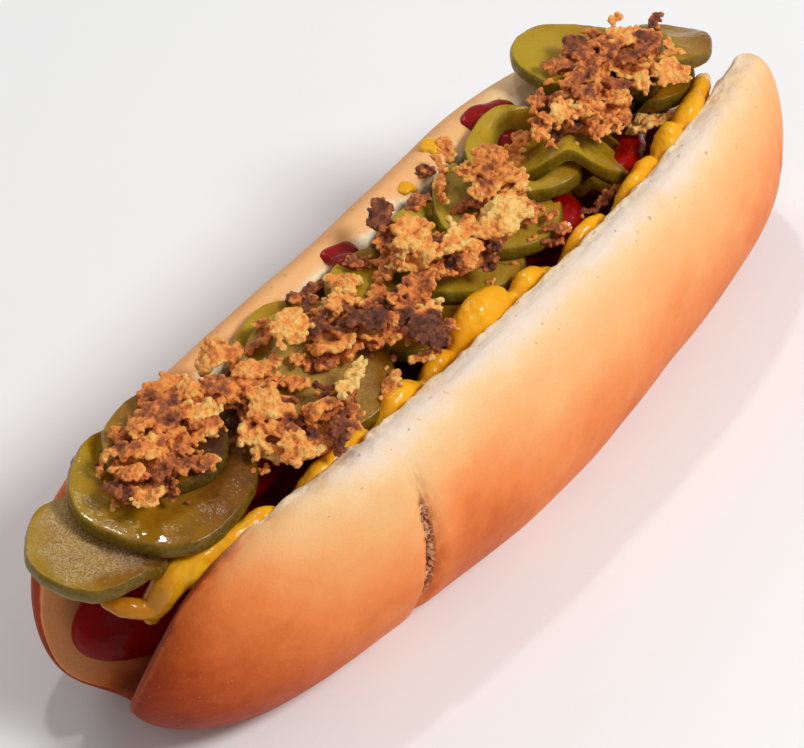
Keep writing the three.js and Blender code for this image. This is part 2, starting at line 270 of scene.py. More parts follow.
# A bead along rows of x, y, z and radius: circles carried along the curve, their height scaled by rise,
# that shrink to a pole at both ends.
def beadForm(rows, rise, around, along, blunt=14):
    shares = np.linspace(0, 1, along)
    line = curveThrough(rows, shares)
    tangent = np.gradient(line[:, :3], axis=0)
    tangent /= np.linalg.norm(tangent, axis=1, keepdims=True)
    sideways = np.cross(tangent, (0, 0, 1))
    sideways /= np.linalg.norm(sideways, axis=1, keepdims=True)
    upwards = np.cross(sideways, tangent)
    radius = line[:, 3] * np.sqrt(1 - np.abs(2 * shares - 1) ** blunt)
    turn = np.linspace(0, 2 * np.pi, around, endpoint=False)
    offset = np.cos(turn)[None, :, None] * sideways[:, None] + np.sin(turn)[None, :, None] * upwards[:, None]
    offset = offset * radius[:, None, None]
    offset[..., 2] *= rise
    return closedForm(line[:, None, :3] + offset)


# Shader nodes

# One socket of a node tree. Adding to it, subtracting or multiplying adds a Math node.
class Signal:
    def __init__(self, tree, socket):
        self.tree, self.socket = tree, socket

    def math(self, operation, *values, clamp=False):
        node = self.tree.nodes.new("ShaderNodeMath")
        node.operation = operation
        node.use_clamp = clamp
        for socket, value in zip(node.inputs, values):
            plug(self.tree, socket, value)
        return Signal(self.tree, node.outputs[0])

    def __add__(self, other):
        return self.math("ADD", self, other)

    def __sub__(self, other):
        return self.math("SUBTRACT", self, other)

    def __mul__(self, other):
        return self.math("MULTIPLY", self, other)

    def __rsub__(self, other):
        return self.math("SUBTRACT", other, self)

    __radd__ = __add__
    __rmul__ = __mul__

    def clipped(self):
        return self.math("ADD", self, 0.0, clamp=True)


def plug(tree, socket, value):  # a link for a signal, a plain value for a number or a colour
    if isinstance(value, Signal):
        tree.links.new(value.socket, socket)
    elif isinstance(value, tuple) and len(value) == 3 and socket.type == "RGBA":
        socket.default_value = (*value, 1)
    else:
        socket.default_value = value


# A material and its tree, with one method that adds any node.
class Paint:
    def __init__(self, name):
        self.material = bpy.data.materials.new(name)
        self.material.use_nodes = True
        self.tree = self.material.node_tree
        self.tree.nodes.clear()
        self.place = self.node("ShaderNodeTexCoord", out="Object")

    def node(self, kind, settings=None, values=None, out=0):
        node = self.tree.nodes.new(kind)
        for key, value in (settings or {}).items():
            if key == "stops":
                fillRamp(node.color_ramp, value)
            else:
                setattr(node, key, value)
        for key, value in (values or {}).items():
            plug(self.tree, node.inputs[key], value)
        return Signal(self.tree, node.outputs[out]) if node.outputs else None

    def field(self, name):
        return self.node("ShaderNodeAttribute", {"attribute_name": name}, out="Fac")

    def noise(self, size, detail=3, roughness=0.5, place=None):  # size in mm
        values = {"Vector": place or self.place, "Scale": 1 / (size * mm), "Detail": detail,
                  "Roughness": roughness}
        return self.node("ShaderNodeTexNoise", None, values)

    def cells(self, size):  # distance from the middles of cells of a size in mm
        values = {"Vector": self.place, "Scale": 1 / (size * mm)}
        return self.node("ShaderNodeTexVoronoi", None, values, "Distance")

    def step(self, signal, low, high):  # 0 below low, 1 above high, an S between
        values = {"Value": signal, "From Min": low, "From Max": high}
        return self.node("ShaderNodeMapRange", {"interpolation_type": "SMOOTHSTEP"}, values)

    def ramp(self, signal, stops):
        return self.node("ShaderNodeValToRGB", {"stops": stops}, {0: signal})

    def mix(self, share, under, over):  # colours; sockets 6 and 7 are the two to mix, output 2 the result
        return self.node("ShaderNodeMix", {"data_type": "RGBA"}, {0: share, 6: under, 7: over}, 2)

    def stretched(self, scale, turn=(0, 0, 0)):  # object coordinates, scaled along each axis
        return self.node("ShaderNodeMapping", None, {"Vector": self.place, "Scale": scale, "Rotation": turn})

    def bump(self, height, depth, under=None):  # depth in mm for a height of one
        values = {"Height": height, "Distance": depth * mm, "Strength": 1.0}
        if under:
            values["Normal"] = under
        return self.node("ShaderNodeBump", None, values)

    def finish(self, values):
        shader = self.node("ShaderNodeBsdfPrincipled", None, values)
        self.node("ShaderNodeOutputMaterial", None, {"Surface": shader})
        return self.material


def fillRamp(ramp, stops):
    while len(ramp.elements) < len(stops):
        ramp.elements.new(0.5)
    for element, (place, colour) in zip(ramp.elements, stops):
        element.position = place
        element.color = (*colour, 1)


# The roll

# One thick sheet bent into a U. Its mid line is an ellipse from lip to lip, the crust lies outside it
# and the crumb inside; sizes in mm, angles in degrees up the wall, + on the right and - on the left.
roll = {
    "length": 182, "lobe": 6.4, "halfWidth": 19.6, "centreZ": 29.3, "depth": 25,
    "riseRight": 29.4, "riseLeft": 26.6, "lipAngle": 121, "crust": 12, "crustLeft": 11, "crumb": 5.5,
    "flatUnder": 0.3, "taper": 0.5, "taperNearLeft": 0.27, "taperFarRight": 0.7, "nearShift": 3,
    "nearReach": 1.3, "nearThin": 0.9, "farTrim": 2,
    "swells": [  # x, width along x, angle, spread, how far the crust stands out
        (-74, 20, 42, 32, 1.7), (72, 14, 85, 40, 1.6), (-6, 31, 62, 38, 3.2),
        (37, 18, -110, 45, 2.2), (-28, 30, -105, 45, -1.3),
    ],
    "crease": {"x": -41, "from": 50, "to": 104, "edge": 5, "width": 1.7, "depth": 2.6},
    "around": 306, "along": 250,
    "creaseRows": 60, "creaseReach": 0.022,  # rows of its own, and how far along the roll they reach
    # From the roll's middle: where the inner wall browns towards the near end (partly its own colour, partly
    # painted shade of the mouth) and the crust towards the far end, and where a wrinkle runs round the far
    # end
    "innerBrownAndShade": (58, 78), "farBrown": (44, 72), "wrinkle": 73.5,
    # The crust browns from this far towards the near end, as a power of the way past it; low is what the
    # underside has besides
    "nearBrown": {"from": 36, "over": 50, "power": 2.2, "share": 0.66, "most": 0.7, "low": 0.30},
    # How brown the crust is by its angle up the wall, from pale at the lip
    "bake": [(0, 0.80), (40, 0.74), (60, 0.70), (70, 0.66), (80, 0.60), (90, 0.50), (97, 0.40), (104, 0.33),
             (110, 0.24), (116, 0.12), (121, 0.0)],
    "crustColours": [
        (0.00, (0.88, 0.73, 0.60)), (0.12, (0.90, 0.61, 0.33)), (0.24, (0.88, 0.50, 0.22)),
        (0.36, (0.90, 0.44, 0.17)), (0.50, (0.90, 0.33, 0.11)), (0.62, (0.86, 0.24, 0.06)),
        (0.78, (0.62, 0.12, 0.022)), (0.90, (0.40, 0.052, 0.008)), (1.00, (0.26, 0.026, 0.004)),
    ],
}


# How far the crust stands out or in at x and an angle: the swells, less the crease in the right wall.
def crustChange(x, angle):
    change = np.zeros_like(x)
    for place, width, middle, spread, by in roll["swells"]:
        change += by * bell(x - place, width) * bell(angle - middle * radians, spread * radians)
    return change - creaseDepth(x, angle)


def creaseDepth(x, angle):
    crease = roll["crease"]
    edge = crease["edge"] * radians
    above = 1 / (1 + np.exp((crease["from"] * radians - angle) / edge))
    below = 1 / (1 + np.exp((angle - crease["to"] * radians) / edge))
    return crease["depth"] * bell(x - crease["x"], crease["width"]) * above * below


# The roll's surface: u runs round the section through crust and crumb, v from the near tip to the far.
# A point is the mid line's, pushed out along its normal by the crust or in by the crumb.
def rollSurface(u, v):
    s = -np.cos(np.pi * v)
    end = np.abs(s)
    across = bend(np.cos(2 * np.pi * u), 0.85)
    side = bend(np.sin(2 * np.pi * u), 0.62)
    fullness = np.where((across > 0) & (s > 0), 24, 10)
    angle = roll["lipAngle"] * radians * np.cbrt(1 - end ** fullness) * across
    right = 0.5 + 0.5 * np.tanh(angle / 0.35)
    nearLeft = np.where(s < 0, 1 - right, 0)
    farRight = np.where(s > 0, right, 0)
    taper = (roll["taper"] + (roll["taperNearLeft"] - roll["taper"]) * nearLeft
             + (roll["taperFarRight"] - roll["taper"]) * farRight)
    width = roll["halfWidth"] * (1 - taper * end ** 3.2)
    rise = (roll["riseLeft"] + (roll["riseRight"] - roll["riseLeft"]) * right) * (1 - 0.12 * end ** 3)
    height = np.where(np.cos(angle) > 0, roll["depth"] * (1 - 0.1 * end ** 3), rise)
    crust = roll["crustLeft"] + (roll["crust"] - roll["crustLeft"]) * right
    half = roll["length"] / 2 - roll["lobe"]
    x = half * s - np.where(s > 0, roll["farTrim"] * s ** 3, 0)
    fade = np.sqrt(np.maximum(1 - end ** 9, 0)) * (1 - roll["flatUnder"] * bell(angle, 0.55))
    crumb = roll["crumb"] * (1 - roll["nearThin"] * nearLeft * end ** 3)
    thickness = np.where(side > 0, crust + crustChange(x, angle), crumb) * fade
    normalY, normalZ = -np.sin(angle) * height, -np.cos(angle) * width
    size = np.hypot(normalY, normalZ)
    shift = np.where(s < 0, roll["nearShift"] * end ** 5, 0)
    reach = roll["lobe"] + np.where(s < 0, roll["nearReach"] * right, 0)
    lobe = np.sign(s) * reach * end ** 6 * (1 - bell(angle, 0.5 + 0.12 * right))
    y = shift - width * np.sin(angle) + thickness * side * normalY / size
    z = roll["centreZ"] - height * np.cos(angle) + thickness * side * normalZ / size
    return np.stack([x + lobe, y, np.maximum(z, 0)], -1), angle / radians, side, end


def makeRoll():
    turns = np.arange(roll["around"]) / roll["around"]
    middle = math.acos(-roll["crease"]["x"] / (roll["length"] / 2 - roll["lobe"])) / math.pi
    close = middle + roll["creaseReach"] * np.linspace(-1, 1, roll["creaseRows"])
    rows = np.concatenate([np.linspace(0, 1, roll["along"]), close])
    u, v = np.meshgrid(turns, np.unique(rows))
    points, angle, side, end = rollSurface(u, v)
    x = points[..., 0]
    lip = np.abs(angle) / roll["lipAngle"]
    body = 1 - end ** 12
    # Cut crumb begins just inside each lip, along a ragged line
    ragged = 0.16 * fractalAt(points, 5.0, 3, 3)
    inner = smoothStep(-side + ragged, -0.10, 0.12)
    # Towards the near end the inner wall is browned: partly the bread's own colour, partly painted shade of
    # the mouth
    browned = inner * smoothStep(-x, *roll["innerBrownAndShade"])
    crumb = inner - 0.95 * browned
    inCrease = creaseDepth(x, angle * radians) / roll["crease"]["depth"]
    relief = 0.30 * fractalAt(points * (0.5, 1, 1), 11, 2, 5) * (1 - crumb)
    relief += crumb * (0.45 * fractalAt(points, 3.6, 3, 8) - 0.12)
    relief += 0.35 * bell(side, 0.25) * smoothStep(lip, 0.9, 0.99) * fractalAt(points, 1.8, 2, 11)
    wrinkle = bell(x - roll["wrinkle"] - 1.5 * np.sin(angle / 9), 0.9) * smoothStep(angle, 48, 70)
    relief -= 0.5 * wrinkle * (1 - crumb)
    relief += 0.9 * inCrease * fractalAt(points, 1.4, 3, 14)
    points = points + gridNormals(points) * (relief * body)[..., None]
    points[..., 2] = np.maximum(points[..., 2], 0)
    stops = np.array(roll["bake"], float)
    bake = np.interp(np.abs(angle), stops[:, 0], stops[:, 1])
    # Browner towards both ends, in a patch beyond the crease and over the left wall
    brown = roll["nearBrown"]
    near = np.clip((-x - brown["from"]) / brown["over"], 0, 2)
    more = np.minimum(brown["most"], brown["share"] * near ** brown["power"])
    more += 0.10 * smoothStep(x, *roll["farBrown"])
    more += brown["low"] * np.minimum(near, 1) * (1 - smoothStep(np.abs(angle), 30, 75))
    more += 0.26 * bell(x + 30, 9) * (1 - smoothStep(np.abs(angle), 98, 108))
    more += 0.30 * smoothStep(-angle, 60, 100) * (1 - smoothStep(x, 20, 60))
    bake = 1 - (1 - bake) * (1 - more)
    # The near inner wall is evenly brown, partly its own colour and partly painted shade of the mouth
    bake += (0.44 - bake) * browned
    # Painted shadow: the inner wall is dark from the cleft up the right wall
    bake += (1.0 - bake) * browned * smoothStep(angle, -32, 0)
    fields = {
        "bake": poleField(bake), "crumb": poleField(crumb),
        "crease": poleField(inCrease), "lip": poleField(smoothStep(lip, 0.88, 1.0)),
    }
    mesh = makeMesh("roll_bread", closedForm(points), fields)
    return addPiece("roll_bread", mesh, breadPaint(), ["roll"])


# Crust: colour by how brown it is, mottled at three sizes, with flecks near the lip, pale specks low
# down and fine wrinkles. Crumb: off-white with pores, darkened in the pores by painted shade.
def breadPaint():
    paint = Paint("bread")
    bake, crumb, crease, lip = [paint.field(name) for name in ("bake", "crumb", "crease", "lip")]
    broad = paint.noise(16, 3)
    mottle = paint.noise(4.5, 5, 0.6)
    fine = paint.noise(0.8, 3)
    wrinkles = paint.noise(1.0, 5, 0.65, place=paint.stretched((0.35, 1.0, 0.9), (0, 0, 0.4)))
    brown = bake + (broad - 0.5) * 0.22 + (mottle - 0.5) * 0.16 + (fine - 0.5) * 0.05
    crust = paint.ramp(brown.clipped(), roll["crustColours"])
    flecks = paint.step(paint.noise(1.5, 2), 0.68, 0.74) * paint.step(lip, 0.05, 0.5) * (1 - crumb)
    crust = paint.mix(flecks * 0.55, crust, (0.50, 0.17, 0.06))
    specks = (1 - paint.step(paint.cells(1.4), 0.06, 0.17)) * paint.step(bake, 0.45, 0.75)
    crust = paint.mix(specks * 0.28 * paint.step(mottle, 0.4, 0.65), crust, (0.92, 0.50, 0.24))
    pores = 1 - paint.step(paint.cells(2.0), 0.10, 0.42)
    # The pores are darker and more orange: painted shade in them
    inside = paint.mix(pores * 0.25, (0.97, 0.78, 0.52), (0.88, 0.52, 0.26))
    inside = paint.mix(paint.step(broad + (mottle - 0.5) * 0.4, 0.45, 0.7) * 0.6, inside, (0.92, 0.55, 0.26))
    torn = paint.mix(paint.step(fine, 0.42, 0.62), (0.20, 0.040, 0.014), (0.85, 0.46, 0.24))
    colour = paint.mix(crumb, crust, inside)
    colour = paint.mix(paint.step(crease + (fine - 0.5) * 0.5, 0.45, 0.8), colour, torn)
    rough = 0.40 + crumb * 0.42 + (mottle - 0.5) * 0.2 + (1 - bake) * 0.14
    normal = paint.bump(paint.noise(0.35, 3) * 0.5 + wrinkles, 0.16)
    normal = paint.bump(crumb * (paint.noise(0.9, 4, 0.65) - pores * 0.6), 0.28, normal)
    return paint.finish({
        "Base Color": colour, "Roughness": rough.clipped(), "Normal": normal, "IOR": 1.28,
        "Specular IOR Level": 0.2,
        "Subsurface Weight": 0.12, "Subsurface Radius": (1.0, 0.45, 0.2), "Subsurface Scale": 0.003,
    })


bread = makeRoll()
bpy.context.view_layer.update()
print("roll made")


# Where the rays through pixels meet the bread, in mm; a ray that misses it gives a very low place.
def breadAt(pixels):
    spots = []
    for aim in seenAt(pixels, 0.0):
        towards = Vector(aim - viewPoint).normalized()
        hit, spot, normal, face = bread.ray_cast(Vector(viewPoint * mm), towards)
        spots.append(np.array(spot) / mm if hit else (0.0, 0.0, -99.0))
    return np.array(spots)


# The sausage: a round bar with blunt ends, its near end a little to the left and lower

sausage = {
    "length": 165, "radius": 11.4, "x": -5.5, "z": 21.7, "nearShift": 9, "nearDroop": 4,
    "around": 96, "along": 160,
}


def makeSausage():
    v = np.linspace(0, 1, sausage["along"])[:, None]
    turn = np.linspace(0, 2 * np.pi, sausage["around"], endpoint=False)[None]
    s = -np.cos(np.pi * v)
    radius = sausage["radius"] * np.sqrt(1 - np.abs(s) ** 6)
    near = np.where(s < 0, np.abs(s) ** 3, 0)
    points = np.stack(np.broadcast_arrays(
        sausage["x"] + sausage["length"] / 2 * s,
        sausage["nearShift"] * near + radius * np.cos(turn),
        sausage["z"] - sausage["nearDroop"] * near + radius * np.sin(turn),
    ), -1)
    relief = 0.25 * fractalAt(points * (1, 1.8, 1.8), 14, 3, 21) - 0.2
    relief = relief * (1 - np.abs(s) ** 20)
    points = points + gridNormals(points) * relief[..., None]
    mesh = makeMesh("sausage_skin", closedForm(points))
    return addPiece("sausage_skin", mesh, skinPaint(), ["sausage"])


# Smoked skin: two reds mixed by a broad noise, with small dark spots and a fine wrinkle.
def skinPaint():
    paint = Paint("sausageSkin")
    broad = paint.noise(9, 4)
    spots = paint.step(paint.noise(1.1, 2), 0.62, 0.72)
    colour = paint.mix(paint.step(broad, 0.3, 0.7), (0.12, 0.001, 0.001), (0.24, 0.003, 0.002))
    colour = paint.mix(spots * 0.5, colour, (0.05, 0.003, 0.003))
    wrinkle = paint.noise(1.4, 4, 0.6, place=paint.stretched((0.5, 1, 1)))
    return paint.finish({
        "Base Color": colour, "Roughness": 0.20 + (broad - 0.5) * 0.2, "IOR": 1.33,
        "Specular IOR Level": 0.14, "Normal": paint.bump(wrinkle, 0.12),
        "Subsurface Weight": 0.05, "Subsurface Radius": (1.0, 0.2, 0.1), "Subsurface Scale": 0.002,
    })


makeSausage()
print("sausage made")


# The sauces

mustard = {
    "rise": 1.5,  # height of the line as a share of its width
    "line": [  # x, y, z and radius
        (-84, -4.0, 29, 1.6), (-83, -4.4, 32, 2.2), (-81, -5.2, 35.2, 2.6), (-78, -6.0, 36.8, 2.4),
        (-74, -8.0, 37.6, 2.3),
        (-62, -11.0, 39.2, 2.2), (-50, -12.4, 40, 2.2), (-38, -12.8, 40.4, 2.1), (-26, -12.6, 40.8, 2.4),
        (-15, -12.4, 40.4, 2.4), (-6, -11.8, 40.6, 3.9), (3, -12.8, 40.4, 2.3), (14, -13.0, 40.6, 2.5),
        (26, -13.0, 40.6, 1.7), (38, -12.8, 41, 1.8), (48, -11.8, 41.4, 2.7), (57, -10.4, 41.4, 2.4),
        (65, -7.8, 40.8, 2.0), (72, -4.8, 39.2, 1.6),
    ],
    # Where the line sinks behind the lip: x, width along x, how far down
    "dips": [
        (-57, 3.5, 3.6), (-36, 3.5, 3.4), (-23, 3, 3.6), (-14.5, 2.4, 3.4), (1.3, 1.6, 3.0),
        (15, 5, 5.4), (31, 3.6, 4.8), (46, 2.2, 4.2), (54, 1.8, 3.6),
    ],
    # The film that has run down under the foremost slice: x, y, z and radius
    "drip": [
        (-89.2, 1.4, 35.4, 1.2), (-87.2, -2.1, 34.6, 1.7), (-84.6, -4.0, 33.0, 1.9), (-83, -4.4, 30.6, 1.5),
    ],
    # Pixels along each smear on the bread, and its radius
    "smears": [
        ([(423, 152), (428, 145), (436, 142), (446, 137)], 1.5), ([(430, 153), (437, 149)], 1.0),
        ([(402, 196), (404, 188), (410, 181)], 1.6), ([(410, 192), (416, 187)], 1.0),
    ],
    "thinAndShadedUpTo": (-84, -77),  # along x, how far the near tip is thin and darker
    "voxel": 0.4,
}
ketchup = {
    "line": [
        (-82, 6, 35.6, 3.0), (-72, 8, 35.4, 2.8), (-52, -1, 34.8, 2.8), (-32, 7, 35.4, 2.8),
        (-12, 7, 35.4, 2.8), (5, -7.4, 36, 3.2), (16, -1, 34.8, 2.8), (27, -6, 36, 3.2),
        (34, 4, 35.2, 3.0), (43, -5.6, 36.4, 3.4), (56, 0, 34.8, 2.8), (69, 0, 34.6, 2.6),
    ],
    "rises": [  # foot, head and radius of the places where it has run up the left wall
        ((-74.5, 8, 36), (-74.5, 15.4, 44), 3.3), ((-29.4, 7.6, 36), (-29.4, 14.6, 43.4), 3.1),
        ((-11, 7, 36), (-11, 14.2, 43.4), 3.3), ((34.2, 6, 35.4), (34.2, 14.2, 40.6), 3.2),
    ],
    "overrun": (-0.35, 1.15),  # where such a run starts and stops, as shares of the way to its head
    # Pixels along the places where it lies spread on the left wall, and the radius there
    "smears": [
        ([(465, 128), (473, 118), (486, 111), (502, 107), (518, 110)], 2.4),
        ([(470, 132), (484, 122), (500, 117)], 2.2), ([(322, 262), (332, 255), (346, 251), (358, 253)], 2.0),
        ([(263, 318), (269, 313), (277, 311)], 1.3), ([(76, 470), (80, 463), (86, 456)], 1.5),
    ],
    "voxel": 0.5,
}


# Flat beads where sauce lies spread on the bread, along rows of pixels.
def smearForms(smears):
    forms = []
    for pixels, radius in smears:
        spots = breadAt(pixels)
        forms.append(beadForm(np.column_stack([spots, np.full(len(spots), radius)]), 0.45, 20, 30, 4))
    return forms


def makeMustard():
    line = curveThrough(mustard["line"], np.linspace(0, 1, 90))
    for place, width, down in mustard["dips"]:
        line[:, 2] -= down * bell(line[:, 0] - place, width)
        line[:, 3] *= 1 - 0.2 * bell(line[:, 0] - place, width)
    forms = [beadForm(line, mustard["rise"], 28, 260), beadForm(mustard["drip"], 0.8, 24, 60)]
    forms += smearForms(mustard["smears"])
    mesh = meltedMesh("mustard_line", joinForms(forms), mustard["voxel"], 3)
    roughen(mesh, 5.0, 0.5, 3, 31)
    # The near tip is darker: partly thin sauce, partly painted shade where it lies in the mouth
    setField(mesh, "thin", 1 - smoothStep(placesOf(mesh)[:, 0], *mustard["thinAndShadedUpTo"]))
    shades = ((0.84, 0.35, 0.005), (0.90, 0.45, 0.012), (0.36, 0.12, 0.003))
    paint = saucePaint("mustardSauce", shades, 0.24, 0.05)
    return addPiece("mustard_line", mesh, paint, ["mustard"])


def makeKetchup():
    rises = []
    for foot, head, radius in ketchup["rises"]:
        shares = np.linspace(*ketchup["overrun"], 5)[:, None]
        line = np.array(foot) + shares * (np.array(head) - np.array(foot))
        rises.append(beadForm(np.column_stack([line, np.full(5, radius)]), 1.0, 24, 30, 4))
    forms = [beadForm(ketchup["line"], 1.0, 24, 200), *rises, *smearForms(ketchup["smears"])]
    mesh = meltedMesh("tomato_ketchup", joinForms(forms), ketchup["voxel"], 5)
    roughen(mesh, 6.0, 0.5, 2, 37)
    setField(mesh, "thin", np.zeros(len(mesh.vertices)))
    shades = ((0.18, 0.001, 0.001), (0.34, 0.003, 0.002), (0.34, 0.003, 0.002))
    paint = saucePaint("tomatoSauce", shades, 0.16, 0.04)
    return addPiece("tomato_ketchup", mesh, paint, ["ketchup"])


# A glossy sauce: two near shades and one for where it is thin and in painted shade, a smooth skin with a
# slight swell, and light that sinks in a little.
def saucePaint(name, colours, roughness, swell):
    paint = Paint(name)
    broad = paint.noise(5, 3)
    grain = paint.noise(0.5, 2)
    colour = paint.mix(paint.step(broad, 0.3, 0.7), *colours[:2])
    colour = paint.mix(paint.field("thin") * 0.8, colour, colours[2])
    return paint.finish({
        "Base Color": colour, "Roughness": roughness + (grain - 0.5) * 0.12, "IOR": 1.45,
        "Coat Weight": 0.15, "Coat Roughness": 0.08, "Specular IOR Level": 0.3,
        "Normal": paint.bump(paint.noise(1.6, 2), swell * 4),
        "Subsurface Weight": 0.25, "Subsurface Radius": (1.0, 0.5, 0.1), "Subsurface Scale": 0.002,
    })


makeMustard()
makeKetchup()
print("sauces made")


# The pickle slices, the ones on top first

pickles = {
    "thickness": 3.3, "wobble": 0.035, "clear": 0.15,  # mm; clear is the gap under a covering slice
    "around": 120, "across": 44, "margin": 3.0,  # how far past its edge a slice still presses
    "lowest": 35.0,  # how far down, at the middle of its thickness, a slice can be pressed
    # centre, radius, slopes along x and y, oval, heading, fold, tone (0 brown to 1 green), lit (share of pale
    # grain painted as a highlight)
    "slices": [
        ((-64.4, 8.0, 47.0), 10.4, (0.02, 0.06), 0, 0, 0, 0.30, 0.0),
        ((-68.2, 4.8, 44.4), 15.4, (0.02, 0.12), 0.06, 0, 0, 0.45, 0.0),
        ((-84.4, 5.6, 41.8), 11.7, (-0.10, -0.02), 0, 0, 0, 0.50, 1.0),
        ((-34.6, 0.4, 43.0), 13.0, (0.03, 0.20), 0, 0, 0, 0.65, 0.3),
        ((-31.5, 6.2, 41.2), 12.0, (0.00, 0.22), 0, 0, 0, 0.60, 0.0),
        ((52.4, 13.0, 47.6), 10.0, (-0.10, -0.04), 0, 0, 0, 0.80, 0.0),
        ((36.6, 1.5, 45.2), 9.0, (-0.22, -0.18), -0.24, 40, 0.85, 1.00, 0.0),
        ((31.0, 6.6, 42.8), 10.6, (0.00, 0.18), 0, 0, 0, 0.80, 0.1),
        ((17.4, 2.6, 42.2), 11.6, (0.00, 0.16), 0, 0, 0, 0.90, 0.2),
        ((5.6, 2.4, 41.4), 12.2, (0.02, 0.16), 0, 0, 0, 0.85, 0.2),
        ((-10.5, 2.2, 40.8), 12.2, (0.00, 0.20), 0, 0, 0, 0.60, 0.0),
        ((40.2, -1.6, 43.2), 7.0, (0.10, 0.05), 0, 0, 0, 0.42, 0.0),
        ((29.6, 5.0, 39.0), 8.2, (-0.05, 0.10), 0, 0, 0, 0.35, 0.0),
        ((56.5, 9.4, 45.0), 11.0, (-0.11, -0.09), 0, 0, 0, 0.70, 0.0),
        ((66.4, 1.8, 46.2), 9.4, (-0.27, -0.22), 0, 0, 0, 0.70, 0.0),
        ((54.5, 8.5, 41.4), 8.6, (0.00, 0.00), 0, 0, 0, 0.60, 0.0),
        ((62.8, 4.2, 42.4), 10.4, (-0.04, 0.10), 0, 0, 0, 0.55, 0.0),
    ],
}


# Heights of every slice's middle over the given places, and how far each slice covers them. A slice is
# a tilted plane, or folded along its heading; one above that covers it presses it down.
def sliceHeights(x, y):
    middles, covers = [], []
    for centre, radius, slope, oval, heading, fold, tone, lit in pickles["slices"]:
        dx, dy = x - centre[0], y - centre[1]
        aside = dy * math.cos(heading * radians) - dx * math.sin(heading * radians)
        middle = centre[2] + slope[0] * dx + slope[1] * dy - fold * (np.sqrt(aside ** 2 + 1) - 1)
        for upper, cover in zip(middles, covers):
            over = middle - np.maximum(upper - pickles["thickness"] - pickles["clear"], pickles["lowest"])
            middle = middle - cover * np.logaddexp(0, 3 * over) / 3
        turn = np.arctan2(dy, dx)
        edge = radius * (1 + oval * np.cos(2 * (turn - heading * radians)))
        middles.append(middle)
        covers.append(1 - smoothStep(np.hypot(dx, dy), edge, edge + pickles["margin"]))
    return middles, covers


# A slice: a disc whose rim is a rounded square in section, as rise = sin^0.45 and the reach falls late,
# its edge wavy by three and five lobes, laid over its own bent middle.
def makeSlice(number, row, material):
    centre, radius, slope, oval, heading, fold, tone, lit = row
    lean = np.linspace(-np.pi / 2, np.pi / 2, pickles["across"])[:, None]
    turn = np.linspace(0, 2 * np.pi, pickles["around"], endpoint=False)[None]
    lumpy = np.sin(3 * turn + centre[0]) + 0.5 * np.cos(5 * turn + centre[1])
    edge = radius * (1 + pickles["wobble"] * lumpy) * (1 + oval * np.cos(2 * (turn - heading * radians)))
    reach = np.interp(np.abs(lean), [0, 0.9, 1.25, np.pi / 2], [1, 0.96, 0.80, 0])
    reach[0], reach[-1] = 0, 0
    rise = pickles["thickness"] / 2 * bend(np.sin(lean), 0.45)
    x = centre[0] + edge * reach * np.cos(turn)
    y = centre[1] + edge * reach * np.sin(turn)
    middles, covers = sliceHeights(x, y)
    z = middles[number]
    rough = np.stack(np.broadcast_arrays(x, y, z + 9 * number), -1)
    wave = 0.5 * fractalAt(rough * (1, 1, 0), 12, 2, 40 + number)
    share = np.broadcast_to(reach, x.shape)
    seedy = bell(share - 0.45, 0.22) * np.maximum(noiseAt(rough, 1.6, 60 + number), 0)
    skinBumps = smoothStep(share, 0.9, 1.0) * noiseAt(rough, 2.2, 80 + number)
    z = z + wave + rise * (1 + 0.05 * lumpy) + np.sign(rise) * 0.3 * seedy
    x = x + 0.25 * skinBumps * np.cos(turn)
    y = y + 0.25 * skinBumps * np.sin(turn)
    points = np.stack(np.broadcast_arrays(x, y, z), -1)
    rim = smoothStep(share, 0.93, 0.995)
    fields = {
        "rim": poleField(rim), "core": poleField(1 - share),
        # Tone also grades across each slice, darker towards -y and +x: painted shade on that side
        "tone": poleField(tone + 0.22 * (y - centre[1] - x + centre[0]) / radius),
        "lit": np.full(rim[1:-1].size + 2, lit),
    }
    name = f"pickle_slice_{number + 1:02d}"
    mesh = makeMesh(name, closedForm(points), fields)
    return addPiece(name, mesh, material, [f"pickle_{number + 1:02d}"])


